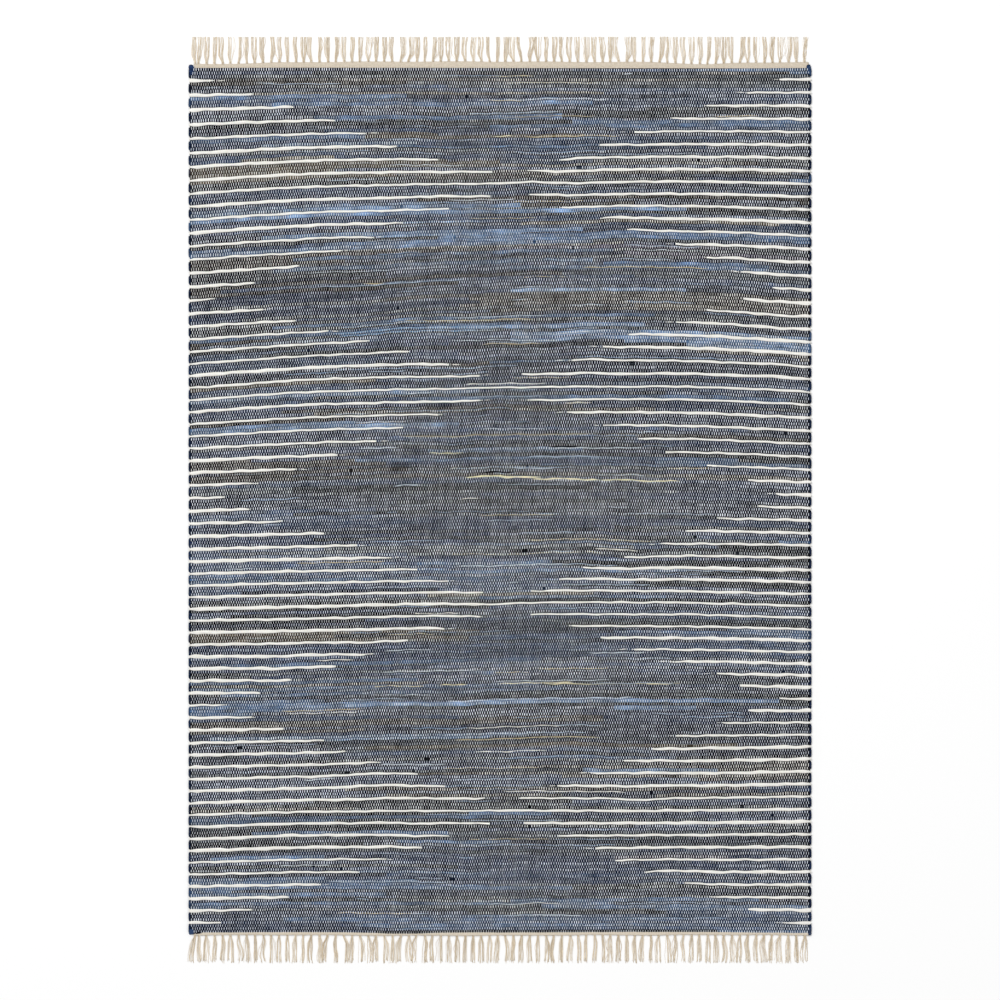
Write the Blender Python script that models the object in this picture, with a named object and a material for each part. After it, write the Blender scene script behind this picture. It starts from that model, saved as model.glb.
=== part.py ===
# A hand-woven rag rug, lying flat: cloth of denim rags beaten on a cotton warp, and at each end
# a narrow cotton heading with the warp ends beyond it, gathered into small groups as fringe.
# Metres, +Z up. X runs across the rug and Y along it, and the origin lies under its middle.

import math
import random

import bmesh
import bpy
import numpy as np

# Driving dimensions of the cloth
CLOTH_WIDTH = 1.524
CLOTH_LENGTH = 2.134
HEADING_FAR = 0.0125
HEADING_NEAR = 0.008
FRINGE_FAR = 0.064
FRINGE_NEAR = 0.068
GAP = 0.0003

# The weave: each rag pick is a rib across the cloth
PICKS = 275
RIB_TOP = 0.0060
RIB_VALLEY = 0.0043
SELVEDGE_TOP = 0.0050
SELVEDGE_VALLEY = 0.0036
SELVEDGE_NOTCH = 0.0014
SELVEDGE_UNDERCUT = 0.0012

# The fringe: each group of warp ends lies as one or two locks
GROUPS = 76
PAIR_SHARE = 0.6
ROOT_WIDTH = 0.0062
ROOT_JITTER = 0.0010
LEAN = 0.0025
BEND = 0.0010
SPREAD = 0.0018
PAIR_LOCK_WIDTH = 0.0047
LONE_LOCK_WIDTH = 0.0078
LOCK_TOP_SHARE = 0.7
HEADING_THICK = 0.0032
HEADING_WAVE = 0.0010
HEADING_WAVES = 5

# A lock's sections beyond its root: shares of its reach, spread, lean, bend and width, and its thickness
LOCK_COLUMNS = ("reach", "spread", "lean", "bend", "width", "thick")
LOCK_SECTIONS = (
    (0.45, 0.9, 0.4, 1.0, 0.85, 0.0030),
    (1.00, 1.0, 1.0, 0.0, 1.00, 0.0021),
)

# Where things begin and end along Y
TOTAL_LENGTH = CLOTH_LENGTH + FRINGE_FAR + FRINGE_NEAR
HEADING_FAR_OUTER = TOTAL_LENGTH / 2 - FRINGE_FAR
HEADING_NEAR_OUTER = FRINGE_NEAR - TOTAL_LENGTH / 2
HEADING_FAR_INNER = HEADING_FAR_OUTER - HEADING_FAR
HEADING_NEAR_INNER = HEADING_NEAR_OUTER + HEADING_NEAR
FIELD_FAR = HEADING_FAR_INNER - GAP
FIELD_NEAR = HEADING_NEAR_INNER + GAP
HEADING_WEST = -0.748
HEADING_EAST = 0.755

# The rows don't run dead straight: how far each droops toward the near end, in millimetres,
# at five places across the cloth and at these picks, counted from the far end
DROOP_PLACES = {
    "west_edge": -CLOTH_WIDTH / 2,
    "west_quarter": -0.49,
    "middle": 0.0,
    "east_quarter": 0.49,
    "east_edge": CLOTH_WIDTH / 2,
}
DROOP_COLUMNS = ("pick", "west_edge", "west_quarter", "middle", "east_quarter", "east_edge")
DROOP_MM = (
    (0, 0, 0, 0, 0, 0),
    (27, 30, 14, 5, 5, 9),
    (51, 37, 22, 4, 4, 13),
    (75, 49, 33, 8, 12, 23),
    (99, 44, 24, 14, 14, 25),
    (123, 38, 26, 18, 18, 30),
    (151, 39, 34, 26, 26, 30),
    (171, 31, 25, 15, 17, 23),
    (195, 25, 20, 7, 4, 10),
    (219, 19, 14, 1, 3, 0),
    (243, 10, 2, -1, 0, 0),
    (PICKS, 0, 0, 0, 0, 0),
)

DENIM = (0.135, 0.150, 0.170, 1.0)
COTTON = (0.66, 0.59, 0.49, 1.0)


def material(name, colour, roughness):
    made = bpy.data.materials.new(name)
    made.use_nodes = True
    shader = made.node_tree.nodes["Principled BSDF"]
    shader.inputs["Base Color"].default_value = colour
    shader.inputs["Roughness"].default_value = roughness
    shader.inputs["Metallic"].default_value = 0.0
    return made


def finished(bm, name, its_material, collection):
    bmesh.ops.recalc_face_normals(bm, faces=bm.faces)
    mesh = bpy.data.meshes.new(name)
    bm.to_mesh(mesh)
    bm.free()
    mesh.shade_smooth()
    mesh.set_sharp_from_angle(angle=math.radians(50))
    mesh.materials.append(its_material)
    made = bpy.data.objects.new(name, mesh)
    collection.objects.link(made)
    return made


def droop(pick, place):
    """How far the row droops toward the near end at this pick and this place across, in metres."""
    picks = [row[DROOP_COLUMNS.index("pick")] for row in DROOP_MM]
    here = [row[DROOP_COLUMNS.index(place)] for row in DROOP_MM]
    return float(np.interp(pick, picks, here)) / 1000


def woven_field(its_material, collection):
    """The rag cloth: a grid with two lines a pick, so that every pick stands up as a rib."""
    rows = 2 * PICKS
    places = list(DROOP_PLACES)
    columns = len(places) - 1
    pitch = (FIELD_FAR - FIELD_NEAR) / PICKS
    bm = bmesh.new()
    bmesh.ops.create_grid(bm, x_segments=columns, y_segments=rows, size=0.5)
    for v in bm.verts:
        column = round((v.co.x + 0.5) * columns)
        row = round((0.5 - v.co.y) * rows)
        on_rib = row % 2 == 1
        at_side = column in (0, columns)
        x = DROOP_PLACES[places[column]]
        y = FIELD_FAR - pitch * row / 2 - droop(row / 2, places[column])
        if at_side:
            z = SELVEDGE_TOP if on_rib else SELVEDGE_VALLEY
            x -= math.copysign(0.0 if on_rib else SELVEDGE_NOTCH, x)
        else:
            z = RIB_TOP if on_rib else RIB_VALLEY
        v.co = (x, y, z)
    rim = [e for e in bm.edges if e.is_boundary]
    walls = bmesh.ops.extrude_edge_only(bm, edges=rim)["geom"]
    for v in (g for g in walls if isinstance(g, bmesh.types.BMVert)):
        v.co.z = 0.0
        if abs(v.co.x) > CLOTH_WIDTH / 2 - 2 * SELVEDGE_NOTCH:
            v.co.x -= math.copysign(SELVEDGE_UNDERCUT, v.co.x)
    bmesh.ops.edgeloop_fill(bm, edges=[e for e in bm.edges if e.is_boundary])
    return finished(bm, "woven_field", its_material, collection)


def lock_plan(chance):
    """Where the groups' roots sit across the heading, and whether each parts into two locks."""
    pitch = (HEADING_EAST - HEADING_WEST) / GROUPS
    plan = []
    for i in range(GROUPS):
        middle = HEADING_WEST + (i + 0.5) * pitch + chance.uniform(-ROOT_JITTER, ROOT_JITTER)
        plan.append((middle, chance.random() < PAIR_SHARE, chance.uniform(-LEAN, LEAN)))
    return plan


def heading_edges(plan):
    """The places across the heading where a root begins, parts or ends, and each root's lock."""
    places = [HEADING_WEST]
    locks = {}
    for middle, is_pair, lean in plan:
        half = ROOT_WIDTH / 2
        places.append(middle - half)
        if is_pair:
            locks[len(places) - 1] = (-1, lean)
            places.append(middle)
            locks[len(places) - 1] = (1, lean)
        else:
            locks[len(places) - 1] = (0, lean)
        places.append(middle + half)
    places.append(HEADING_EAST)
    return places, locks


def heading_with_fringe(name, inner, outer, reach, shortest, seed, its_material, collection):
    """A strip across the cloth's end, whose outer side is drawn out into the fringe's locks."""
    chance = random.Random(seed)
    outward = math.copysign(1.0, outer)
    places, locks = heading_edges(lock_plan(chance))
    bm = bmesh.new()
    bmesh.ops.create_grid(bm, x_segments=len(places) - 1, y_segments=1, size=0.5)
    for v in bm.verts:
        x = places[round((v.co.x + 0.5) * (len(places) - 1))]
        wave = HEADING_WAVE * math.sin(2 * math.pi * HEADING_WAVES * x / CLOTH_WIDTH + seed)
        y = outer + outward * wave if v.co.y * outward > 0 else inner
        v.co = (x, y, HEADING_THICK)
    whole = list(bm.faces)
    below = bmesh.ops.extrude_face_region(bm, geom=whole)["geom"]
    for v in (g for g in below if isinstance(g, bmesh.types.BMVert)):
        v.co.z = 0.0
    bmesh.ops.recalc_face_normals(bm, faces=bm.faces)
    rooted = []
    for face in bm.faces:
        centre = face.calc_center_median()
        is_outer_side = abs(face.normal.z) < 0.5 and face.normal.y * outward > 0.5
        if is_outer_side:
            column = sum(place < centre.x for place in places) - 1
            if column in locks:
                rooted.append((face, locks[column]))
    cuts = [chance.uniform(shortest, 1.0) for _ in rooted]
    for (face, (side, lean)), cut in zip(rooted, cuts):
        length = reach * cut / max(cuts)
        width = LONE_LOCK_WIDTH if side == 0 else PAIR_LOCK_WIDTH
        root = face.calc_center_median()
        bend = chance.uniform(-BEND, BEND)
        tip_y = outer + outward * length
        for section in LOCK_SECTIONS:
            part = dict(zip(LOCK_COLUMNS, section))
            x = root.x + side * SPREAD * part["spread"] + lean * part["lean"] + bend * part["bend"]
            face = bmesh.ops.extrude_discrete_faces(bm, faces=[face])["faces"][0]
            middle = face.calc_center_median()
            for v in face.verts:
                is_top = v.co.z > middle.z
                half = width / 2 * part["width"] * (LOCK_TOP_SHARE if is_top else 1.0)
                v.co.x = x + math.copysign(half, v.co.x - middle.x)
                v.co.y = root.y + (tip_y - root.y) * part["reach"]
                v.co.z = part["thick"] if is_top else 0.0
    return finished(bm, name, its_material, collection)


def build():
    for old in list(bpy.data.objects):
        bpy.data.objects.remove(old, do_unlink=True)
    collection = bpy.data.collections.new("denim_rag_rug")
    bpy.context.scene.collection.children.link(collection)
    denim = material("denim rag weave", DENIM, 0.92)
    cotton_far = material("cream cotton, far end", COTTON, 0.88)
    cotton_near = material("cream cotton, near end", COTTON, 0.88)
    woven_field(denim, collection)
    heading_with_fringe(
        "heading_fringe_far", HEADING_FAR_INNER, HEADING_FAR_OUTER, FRINGE_FAR, 0.965, 11,
        cotton_far, collection,
    )
    heading_with_fringe(
        "heading_fringe_near", HEADING_NEAR_INNER, HEADING_NEAR_OUTER, FRINGE_NEAR, 0.90, 23,
        cotton_near, collection,
    )


build()
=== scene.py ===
# A hand-woven denim rag rug with stepped white stripes and cotton fringes, laid flat on a pale floor
import math
import random

import bmesh
import bpy
import numpy as np
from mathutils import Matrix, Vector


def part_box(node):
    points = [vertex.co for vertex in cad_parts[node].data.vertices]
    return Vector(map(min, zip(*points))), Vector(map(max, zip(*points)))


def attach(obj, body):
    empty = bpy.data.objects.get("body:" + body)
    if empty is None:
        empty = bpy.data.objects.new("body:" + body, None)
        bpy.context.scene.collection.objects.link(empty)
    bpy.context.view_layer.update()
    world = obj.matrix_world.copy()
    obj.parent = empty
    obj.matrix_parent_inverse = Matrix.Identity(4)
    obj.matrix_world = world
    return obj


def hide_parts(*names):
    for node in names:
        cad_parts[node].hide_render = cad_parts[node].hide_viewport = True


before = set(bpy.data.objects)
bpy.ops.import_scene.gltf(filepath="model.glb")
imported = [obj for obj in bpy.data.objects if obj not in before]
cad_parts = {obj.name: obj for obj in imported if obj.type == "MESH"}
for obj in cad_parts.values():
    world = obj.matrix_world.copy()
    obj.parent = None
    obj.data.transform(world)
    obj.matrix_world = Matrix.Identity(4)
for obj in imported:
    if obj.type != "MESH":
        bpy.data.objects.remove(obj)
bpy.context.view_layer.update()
fieldLow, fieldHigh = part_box("woven_field")
farLow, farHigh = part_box("heading_fringe_far")
nearLow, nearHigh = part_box("heading_fringe_near")
halfWidth = fieldHigh[0]

# The weave: thick rag picks across, thin cotton warps along, in plain weave
weave = {
    "picks": 275,
    "warps": 516,
    "crest": 0.0060,
    "valley": 0.0035,
    "roundness": 0.6,  # lower is a squarer rib
    "lump": 0.00030,
    "lumpColumns": 64,
    "edgeWide": 0.012,  # along each side the cloth is thinner
    "edgeSinks": 0.0006,
    "edgeInset": 0.0032,  # left to the rags' turns
    "backDepth": 0.0014,  # how deep the grooves between picks are underneath
    "seed": 4,
}
pickPitch = (fieldHigh[1] - fieldLow[1]) / weave["picks"]
warpPitch = (fieldHigh[0] - fieldLow[0]) / weave["warps"]

# How far the rows droop toward the near end, in millimetres, at five places across
droopPlaces = (-0.762, -0.49, 0.0, 0.49, 0.762)
droopPicks = (0, 27, 51, 75, 99, 123, 151, 171, 195, 219, 243, 275)
droopMm = {
    "westEdge": (-1, 30, 40, 53, 48, 42, 43, 34, 27, 24, 14, 3),
    "westQuarter": (-1.5, 16, 23, 36, 29, 31, 37, 29, 24, 18, 6, 2.2),
    "middle": (-0.6, 11, 9, 12, 17, 21, 29, 19, 12, 8, 7, 3),
    "eastQuarter": (0.8, 4, 4, 11, 15, 23, 29, 20, 8, 8, 5, 1.8),
    "eastEdge": (-1, 9, 14, 27, 28, 33, 34, 27, 12, 3, 2.5, 4.7),
}
uneven = {"places": 26, "height": 0.00060, "oddRows": 0.7, "seed": 5}  # how rows stray
ripples = {
    "everywhere": ((0.0006, 71, 0.35), (0.0005, 133, -0.5)),  # height, and turns across and down
    "calm": (8, 0.2),  # near the ends, over so many picks, down to this share
    "count": 60, "height": 0.0028, "wide": (0.035, 0.10), "picks": (5, 16),
    "strong": 34, "strongHeight": 0.0052, "strongWide": (0.04, 0.09), "strongPicks": (3.5, 8),
    "placed": (  # pick, x, height, picks and width
        (275, -0.24, 0.0034, 5, 0.09),
        (12.5, -0.13, 0.0036, 4, 0.07),
        (12, 0.14, -0.0036, 4, 0.07),
    ),
    "seed": 12,
}


# Rows, and how high the cloth stands on them


def throughPoints(places, values, at):
    # a smooth curve through the points, read at each place; each place may have a column of its own
    places = np.asarray(places, dtype=float)
    slopes = np.gradient(values, places, axis=0)
    cell = np.clip(np.searchsorted(places, at, side="right") - 1, 0, len(places) - 2)
    width = places[cell + 1] - places[cell]
    t = np.clip((at - places[cell]) / width, 0.0, 1.0)
    column = () if values.ndim == 1 else (np.arange(len(at)),)
    before, after = (cell, *column), (cell + 1, *column)
    return (
        (2 * t**3 - 3 * t**2 + 1) * values[before]
        + (t**3 - 2 * t**2 + t) * width * slopes[before]
        + (3 * t**2 - 2 * t**3) * values[after]
        + (t**3 - t**2) * width * slopes[after]
    )


def rippleSpots():
    chance = random.Random(ripples["seed"])
    spots = []
    for _ in range(ripples["count"]):
        pick = chance.uniform(8, weave["picks"] - 8)
        x = chance.uniform(-halfWidth, halfWidth)
        height = chance.uniform(-1, 1) * ripples["height"]
        size = (chance.uniform(*ripples["picks"]), chance.uniform(*ripples["wide"]))
        spots.append((pick, x, height, *size))
    for _ in range(ripples["strong"]):
        pick = chance.uniform(8, weave["picks"] - 8)
        x = chance.triangular(-0.6, 0.6, 0)
        height = chance.choice((-1, 1)) * chance.uniform(0.4, 1) * ripples["strongHeight"]
        size = (chance.uniform(*ripples["strongPicks"]), chance.uniform(*ripples["strongWide"]))
        spots.append((pick, x, height, *size))
    return spots


ripplePlan = rippleSpots()
strayTable = np.random.default_rng(uneven["seed"]).normal(size=(weave["picks"] + 1, uneven["places"]))
strayTable[0] = strayTable[-1] = 0
strayTable[1::2] *= uneven["oddRows"]


def alongRow(table, pick, x, isRounded=False):
    # a table's value on this pick, blended from column to column across the cloth
    along = (np.clip(x / halfWidth, -1, 1) + 1) / 2 * (table.shape[1] - 1.001)
    cell = along.astype(int)
    row = np.clip(np.asarray(pick).astype(int), 0, weave["picks"])
    part = along - cell
    if isRounded:
        part = (1 - np.cos(part * np.pi)) / 2
    return table[row, cell] * (1 - part) + table[row, cell + 1] * part


def rowStray(pick, x):
    # thick rags push their neighbours aside; read at whole picks and blended in between
    row = np.clip(pick.astype(int), 0, weave["picks"] - 1)
    down = np.clip(pick - row, 0, 1)
    near, far = (alongRow(strayTable, there, x, isRounded=True) for there in (row, row + 1))
    return uneven["height"] * (near * (1 - down) + far * down)


def rippled(spots, pick, x):
    wave = np.zeros(len(pick))
    for spotPick, spotX, height, picksWide, wide in spots:
        near = ((pick - spotPick) / picksWide) ** 2 + ((x - spotX) / wide) ** 2
        wave += height * np.exp(-near)
    return wave


def rowShift(pick, x):
    # how far a row lies toward the near end from its even place, in metres
    pick, x = np.broadcast_arrays(np.asarray(pick, dtype=float), np.asarray(x, dtype=float))
    flatPick, flatX = pick.ravel(), x.ravel()
    columns = [throughPoints(droopPicks, np.array(mm, dtype=float), flatPick) for mm in droopMm.values()]
    shift = throughPoints(droopPlaces, np.stack(columns), flatX) / 1000
    calmPicks, least = ripples["calm"]
    calm = np.clip(np.minimum(flatPick, weave["picks"] - flatPick) / calmPicks, least, 1)
    wave = np.zeros(len(flatPick))
    for height, across, down in ripples["everywhere"]:
        wave += height * np.sin(flatX * across + flatPick * down)
    wave = calm * (wave + rippled(ripplePlan, flatPick, flatX))
    wave += rippled(ripples["placed"], flatPick, flatX)
    return (shift + wave + rowStray(flatPick, flatX)).reshape(pick.shape)


def rowY(pick, x):
    return fieldHigh[1] - np.asarray(pick) * pickPitch - rowShift(pick, x)


lumpTable = np.random.default_rng(weave["seed"]).normal(size=(weave["picks"] + 1, weave["lumpColumns"]))


def crestHeight(pick, x):
    # the top of the rag on this pick, uneven along it
    edge = np.clip((halfWidth - np.abs(x)) / weave["edgeWide"], 0, 1)
    lump = weave["lump"] * alongRow(lumpTable, pick, x)
    return weave["crest"] - weave["edgeSinks"] * (1 - edge) + lump


# Meshes and materials that more than one piece uses


def linear(red, green, blue):
    # a colour as seen on a screen, 0 to 255, as the light it stands for
    shares = [value / 255 for value in (red, green, blue)]
    return tuple(s / 12.92 if s <= 0.04045 else ((s + 0.055) / 1.055) ** 2.4 for s in shares)


def meshOf(bm, name):
    mesh = bpy.data.meshes.new(name)
    bm.to_mesh(mesh)
    bm.free()
    return mesh


def readAll(items, key, width=1, kind=float):
    values = np.empty(len(items) * width, dtype=kind)
    items.foreach_get(key, values)
    return values if width == 1 else values.reshape(-1, width)


def pointsOf(mesh):
    return readAll(mesh.vertices, "co", 3)


def movePoints(mesh, points):
    mesh.vertices.foreach_set("co", np.ascontiguousarray(points, dtype=np.float32).ravel())
    mesh.update()


def cornerPoints(mesh):
    return readAll(mesh.loops, "vertex_index", kind=np.int32)


def copiesOf(template, count):
    # many copies of a small mesh in one, in order, as an array makes them
    holder = bpy.data.objects.new("holder", template)
    bpy.context.scene.collection.objects.link(holder)
    array = holder.modifiers.new("copies", "ARRAY")
    array.count = count
    array.use_relative_offset = False
    array.use_constant_offset = True
    array.constant_offset_displace = (1, 0, 0)
    bpy.context.view_layer.update()
    made = bpy.data.meshes.new_from_object(holder.evaluated_get(bpy.context.evaluated_depsgraph_get()))
    bpy.data.objects.remove(holder, do_unlink=True)
    return made


def tubeOf(sides, steps):
    # a closed tube of length and radius 1 along Z, with a map that runs round it and along it
    bm = bmesh.new()
    bmesh.ops.create_cone(
        bm, segments=sides, radius1=1, radius2=1, depth=1 / steps, cap_ends=True, cap_tris=False
    )
    bmesh.ops.translate(bm, verts=bm.verts, vec=(0, 0, 0.5 / steps))
    bm.faces.ensure_lookup_table()
    top = max(bm.faces, key=lambda face: face.calc_center_median().z)
    for _ in range(steps - 1):
        top = bmesh.ops.extrude_discrete_faces(bm, faces=[top])["faces"][0]
        bmesh.ops.translate(bm, verts=top.verts, vec=(0, 0, 1 / steps))
    bmesh.ops.recalc_face_normals(bm, faces=bm.faces)
    around = bm.loops.layers.uv.new("yarn")
    for face in bm.faces:
        turns = [math.atan2(loop.vert.co.y, loop.vert.co.x) / (2 * math.pi) % 1 for loop in face.loops]
        crosses = max(turns) - min(turns) > 0.5
        for loop, turn in zip(face.loops, turns):
            loop[around].uv = (turn + 1 if crosses and turn < 0.5 else turn, loop.vert.co.z)
    return meshOf(bm, "tube")


def lumpOf(rings, sides):
    bm = bmesh.new()
    bmesh.ops.create_uvsphere(bm, u_segments=sides, v_segments=rings, radius=1)
    return meshOf(bm, "lump")


def paintCorners(mesh, name, values):
    # numbers or colours, one for each corner or for each of some equal runs of corners
    values = np.repeat(np.asarray(values), len(mesh.loops) // len(values), axis=0)
    isColour = values.ndim == 2
    layer = mesh.attributes.new(name, "FLOAT_COLOR" if isColour else "FLOAT", "CORNER")
    if isColour:
        whole = np.ones((len(values), 4), dtype=np.float32)
        whole[:, :3] = values
        layer.data.foreach_set("color", whole.ravel())
    else:
        layer.data.foreach_set("value", values.astype(np.float32))


def addMap(mesh, name, places):
    layer = mesh.uv_layers.new(name=name)
    layer.data.foreach_set("uv", places.astype(np.float32).ravel())


def mapFromAbove(mesh, low, high):
    # the map that the piece's colours are stored in, as seen from above
    at = pointsOf(mesh)[cornerPoints(mesh)]
    shares = [(at[:, axis] - low[axis]) / (high[axis] - low[axis]) for axis in (0, 1)]
    addMap(mesh, "OFBake", np.clip(np.stack(shares, axis=1), 0.001, 0.999))


def outsideOut(mesh):
    bm = bmesh.new()
    bm.from_mesh(mesh)
    bmesh.ops.recalc_face_normals(bm, faces=bm.faces)
    bm.to_mesh(mesh)
    bm.free()


def addPiece(name, mesh, material, node="woven_field"):
    mesh.name = name
    mesh.shade_smooth()
    mesh.materials.clear()
    mesh.materials.append(material)
    piece = bpy.data.objects.new(name, mesh)
    bpy.context.scene.collection.objects.link(piece)
    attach(piece, "root")
    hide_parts(node)
    print("made", name, len(mesh.polygons))
    return piece


def startMaterial(name, roughness):
    material = bpy.data.materials.new(name)
    material.use_nodes = True
    tree = material.node_tree
    shader = tree.nodes["Principled BSDF"]
    shader.inputs["Roughness"].default_value = roughness
    shader.inputs["Specular IOR Level"].default_value = 0.08
    return material, tree, shader


def addNode(tree, kind, values=None, **settings):
    made = tree.nodes.new("ShaderNode" + kind)
    for key, value in settings.items():
        setattr(made, key, value)
    for key, value in (values or {}).items():
        made.inputs[key].default_value = value
    return made


def painted(tree, name, output="Color"):
    return addNode(tree, "Attribute", attribute_name=name).outputs[output]


def noiseOn(tree, source, scale, detail, stretch=(1, 1, 1)):
    mapping = addNode(tree, "Mapping", {"Scale": stretch})
    tree.links.new(source, mapping.inputs["Vector"])
    noise = addNode(tree, "TexNoise", {"Scale": scale, "Detail": detail, "Roughness": 0.6})
    tree.links.new(mapping.outputs["Vector"], noise.inputs["Vector"])
    return noise.outputs["Fac"]


def rangeOf(tree, source, fromLow, fromHigh, toLow, toHigh):
    ends = {"From Min": fromLow, "From Max": fromHigh, "To Min": toLow, "To Max": toHigh}
    made = addNode(tree, "MapRange", ends)
    tree.links.new(source, made.inputs["Value"])
    return made.outputs["Result"]


def mathOn(tree, operation, *values):
    # each value is a socket or a number
    made = addNode(tree, "Math", operation=operation)
    for place, value in enumerate(values):
        if isinstance(value, bpy.types.NodeSocket):
            tree.links.new(value, made.inputs[place])
        else:
            made.inputs[place].default_value = value
    return made.outputs["Value"]


def mixOf(tree, factor, first, second, blend="MIX"):
    # mixes two colours; each is a socket or a colour
    mix = addNode(tree, "Mix", data_type="RGBA", blend_type=blend)
    for name, value in (("Factor", factor), ("A", first), ("B", second)):
        socket = mix.inputs[name]
        if isinstance(value, bpy.types.NodeSocket):
            tree.links.new(value, socket)
        else:
            socket.default_value = value if isinstance(value, float) else (*value, 1.0)
    return mix.outputs["Result"]


def brightened(tree, colour, factor):
    # the colour times a number that changes over the surface
    scale = addNode(tree, "VectorMath", operation="SCALE")
    tree.links.new(colour, scale.inputs["Vector"])
    tree.links.new(factor, scale.inputs["Scale"])
    return scale.outputs["Vector"]


def bumped(tree, shader, height, strength, distance, under=None):
    bump = addNode(tree, "Bump", {"Strength": strength, "Distance": distance})
    tree.links.new(height, bump.inputs["Height"])
    if under is not None:
        tree.links.new(under.outputs["Normal"], bump.inputs["Normal"])
    tree.links.new(bump.outputs["Normal"], shader.inputs["Normal"])
    return bump


def ragSurface(name, roughness, stretch, grainScale, rough):
    # a rag's material with its folds and its grain, which its roughness follows
    material, tree, shader = startMaterial(name, roughness)
    place = addNode(tree, "TexCoord").outputs["Object"]
    folded = noiseOn(tree, place, 1.0, 3.0, stretch)
    grain = noiseOn(tree, place, grainScale, 2.0)
    tree.links.new(rangeOf(tree, grain, 0.3, 0.7, *rough), shader.inputs["Roughness"])
    return material, tree, shader, folded, grain


# White rags: they enter from both sides, and their lengths step in and out in a zigzag

whites = {
    "firstPick": 3,
    "every": 4,
    "count": 68,
    "peaks": (8, 24, 41, 58),  # these run right across
    "valleys": (0, 16, 32, 49, 67),  # these are the shortest
    "shortest": 0.080,
    "longest": {-1: 0.725, 1: 0.700},
    "jitter": 0.018,
    "widthAtSide": 0.0075,
    "widthAtEnd": 0.0052,
    "widthVaries": 0.24,
    "topAtSide": 0.0078,
    "topAtEnd": 0.0069,
    "bottom": 0.0035,
    "startLong": 0.004,  # over which it swells up at the selvedge
    "tailLong": (0.012, 0.05),  # over which a blunt and a thin end taper
    "tailWide": (0.75, 0.35),
    "thinShare": 0.45,
    "swells": ((0.12, 47), (0.10, 111)),  # share of the width, and how fast it comes and goes
    "wander": (0.0003, 90),
    "inset": 0.0006,
    "sunk": 0.0004,  # how far it lies below the warps' tops
    "steps": 30,
    "seed": 31,
}


def whitePlan():
    chance = random.Random(whites["seed"])
    plan = []
    for stripe in range(whites["count"]):
        peak = min(whites["peaks"], key=lambda p: abs(p - stripe))
        valleys = [v for v in whites["valleys"] if (v - peak) * (stripe - peak) >= 0 and v != peak]
        valley = min(valleys, key=lambda v: abs(v - stripe))
        for side in (-1, 1):
            if stripe == peak:
                reach = halfWidth + side * 0.05 + chance.uniform(0.006, 0.012)
            else:
                rise = abs(stripe - valley) / (abs(peak - valley) - 1)
                shortest, longest = whites["shortest"], whites["longest"][side]
                reach = shortest + (longest - shortest) * rise
                reach += chance.uniform(-1, 1) * whites["jitter"]
            pick = whites["firstPick"] + whites["every"] * stripe
            isThin = chance.random() < whites["thinShare"]
            plan.append({"pick": pick, "side": side, "reach": reach, "isThin": isThin})
    return plan


whiteStripes = whitePlan()


def alongWhite(what, share):
    # a white rag's width or top, which changes from the side to the rag's end
    atSide, atEnd = whites[what + "AtSide"], whites[what + "AtEnd"]
    return atSide + (atEnd - atSide) * share


# Rag colours: each strip runs on from pick to pick round the selvedges until its end is reached

rags = {
    "columns": 60,
    "length": (0.18, 1.1),
    "repeats": 0.4,  # how often a strip is of the cloth that lies just before it
    "press": (0.62, 1.12),  # how much of each warp shows over it
    "fade": 0.40,  # how far a rag's own colour comes and goes along it
    "fadeColumns": 73,
    "seed": 77,
    "kinds": (  # share of the strips, and the cloth's colour
        (0.23, (16, 25, 43)),
        (0.17, (9, 13, 23)),
        (0.16, (28, 41, 62)),
        (0.09, (52, 72, 98)),
        (0.03, (74, 96, 124)),
        (0.08, (28, 32, 38)),
        (0.14, (6, 7, 9)),
        (0.06, (22, 18, 14)),
        (0.03, (56, 49, 38)),
        (0.01, (32, 28, 40)),
    ),
    "white": (232, 230, 222),
}


def ragTable():
    chance = random.Random(rags["seed"])
    table = np.zeros((weave["picks"], rags["columns"], 4))
    centres = (np.arange(rags["columns"]) + 0.5) / rags["columns"] * 2 * halfWidth - halfWidth
    shares = [share for share, colour in rags["kinds"]]
    left, colour = 0.0, None
    for pick in range(weave["picks"]):
        order = range(rags["columns"]) if pick % 2 == 0 else reversed(range(rags["columns"]))
        for column in order:
            if left <= 0:
                left = chance.uniform(*rags["length"])
                kind = chance.choices(rags["kinds"], shares)[0][1]
                shade = chance.uniform(0.72, 1.33)
                colour = [value * shade for value in linear(*kind)] + [chance.uniform(*rags["press"])]
                if pick > 1 and chance.random() < rags["repeats"]:
                    colour = list(table[pick - chance.choice((1, 2)), column])
            table[pick, column] = colour
            left -= 2 * halfWidth / rags["columns"]
    for stripe in whiteStripes:
        fromSide = halfWidth + centres * -stripe["side"]
        inside = np.minimum(fromSide, 2 * halfWidth) < stripe["reach"] - 0.01
        table[stripe["pick"], inside] = (*linear(*rags["white"]), 0.8)
    return table


ragColours = ragTable()
fadeTable = np.random.default_rng(rags["seed"]).normal(size=(weave["picks"] + 1, rags["fadeColumns"]))


def ragAt(pick, x):
    # the rag's colour there, and how much of a warp shows over it
    row = np.clip(np.asarray(pick).astype(int), 0, weave["picks"] - 1)
    column = ((np.asarray(x) / halfWidth + 1) / 2 * rags["columns"]).astype(int)
    return ragColours[row, np.clip(column, 0, rags["columns"] - 1)]


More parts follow.
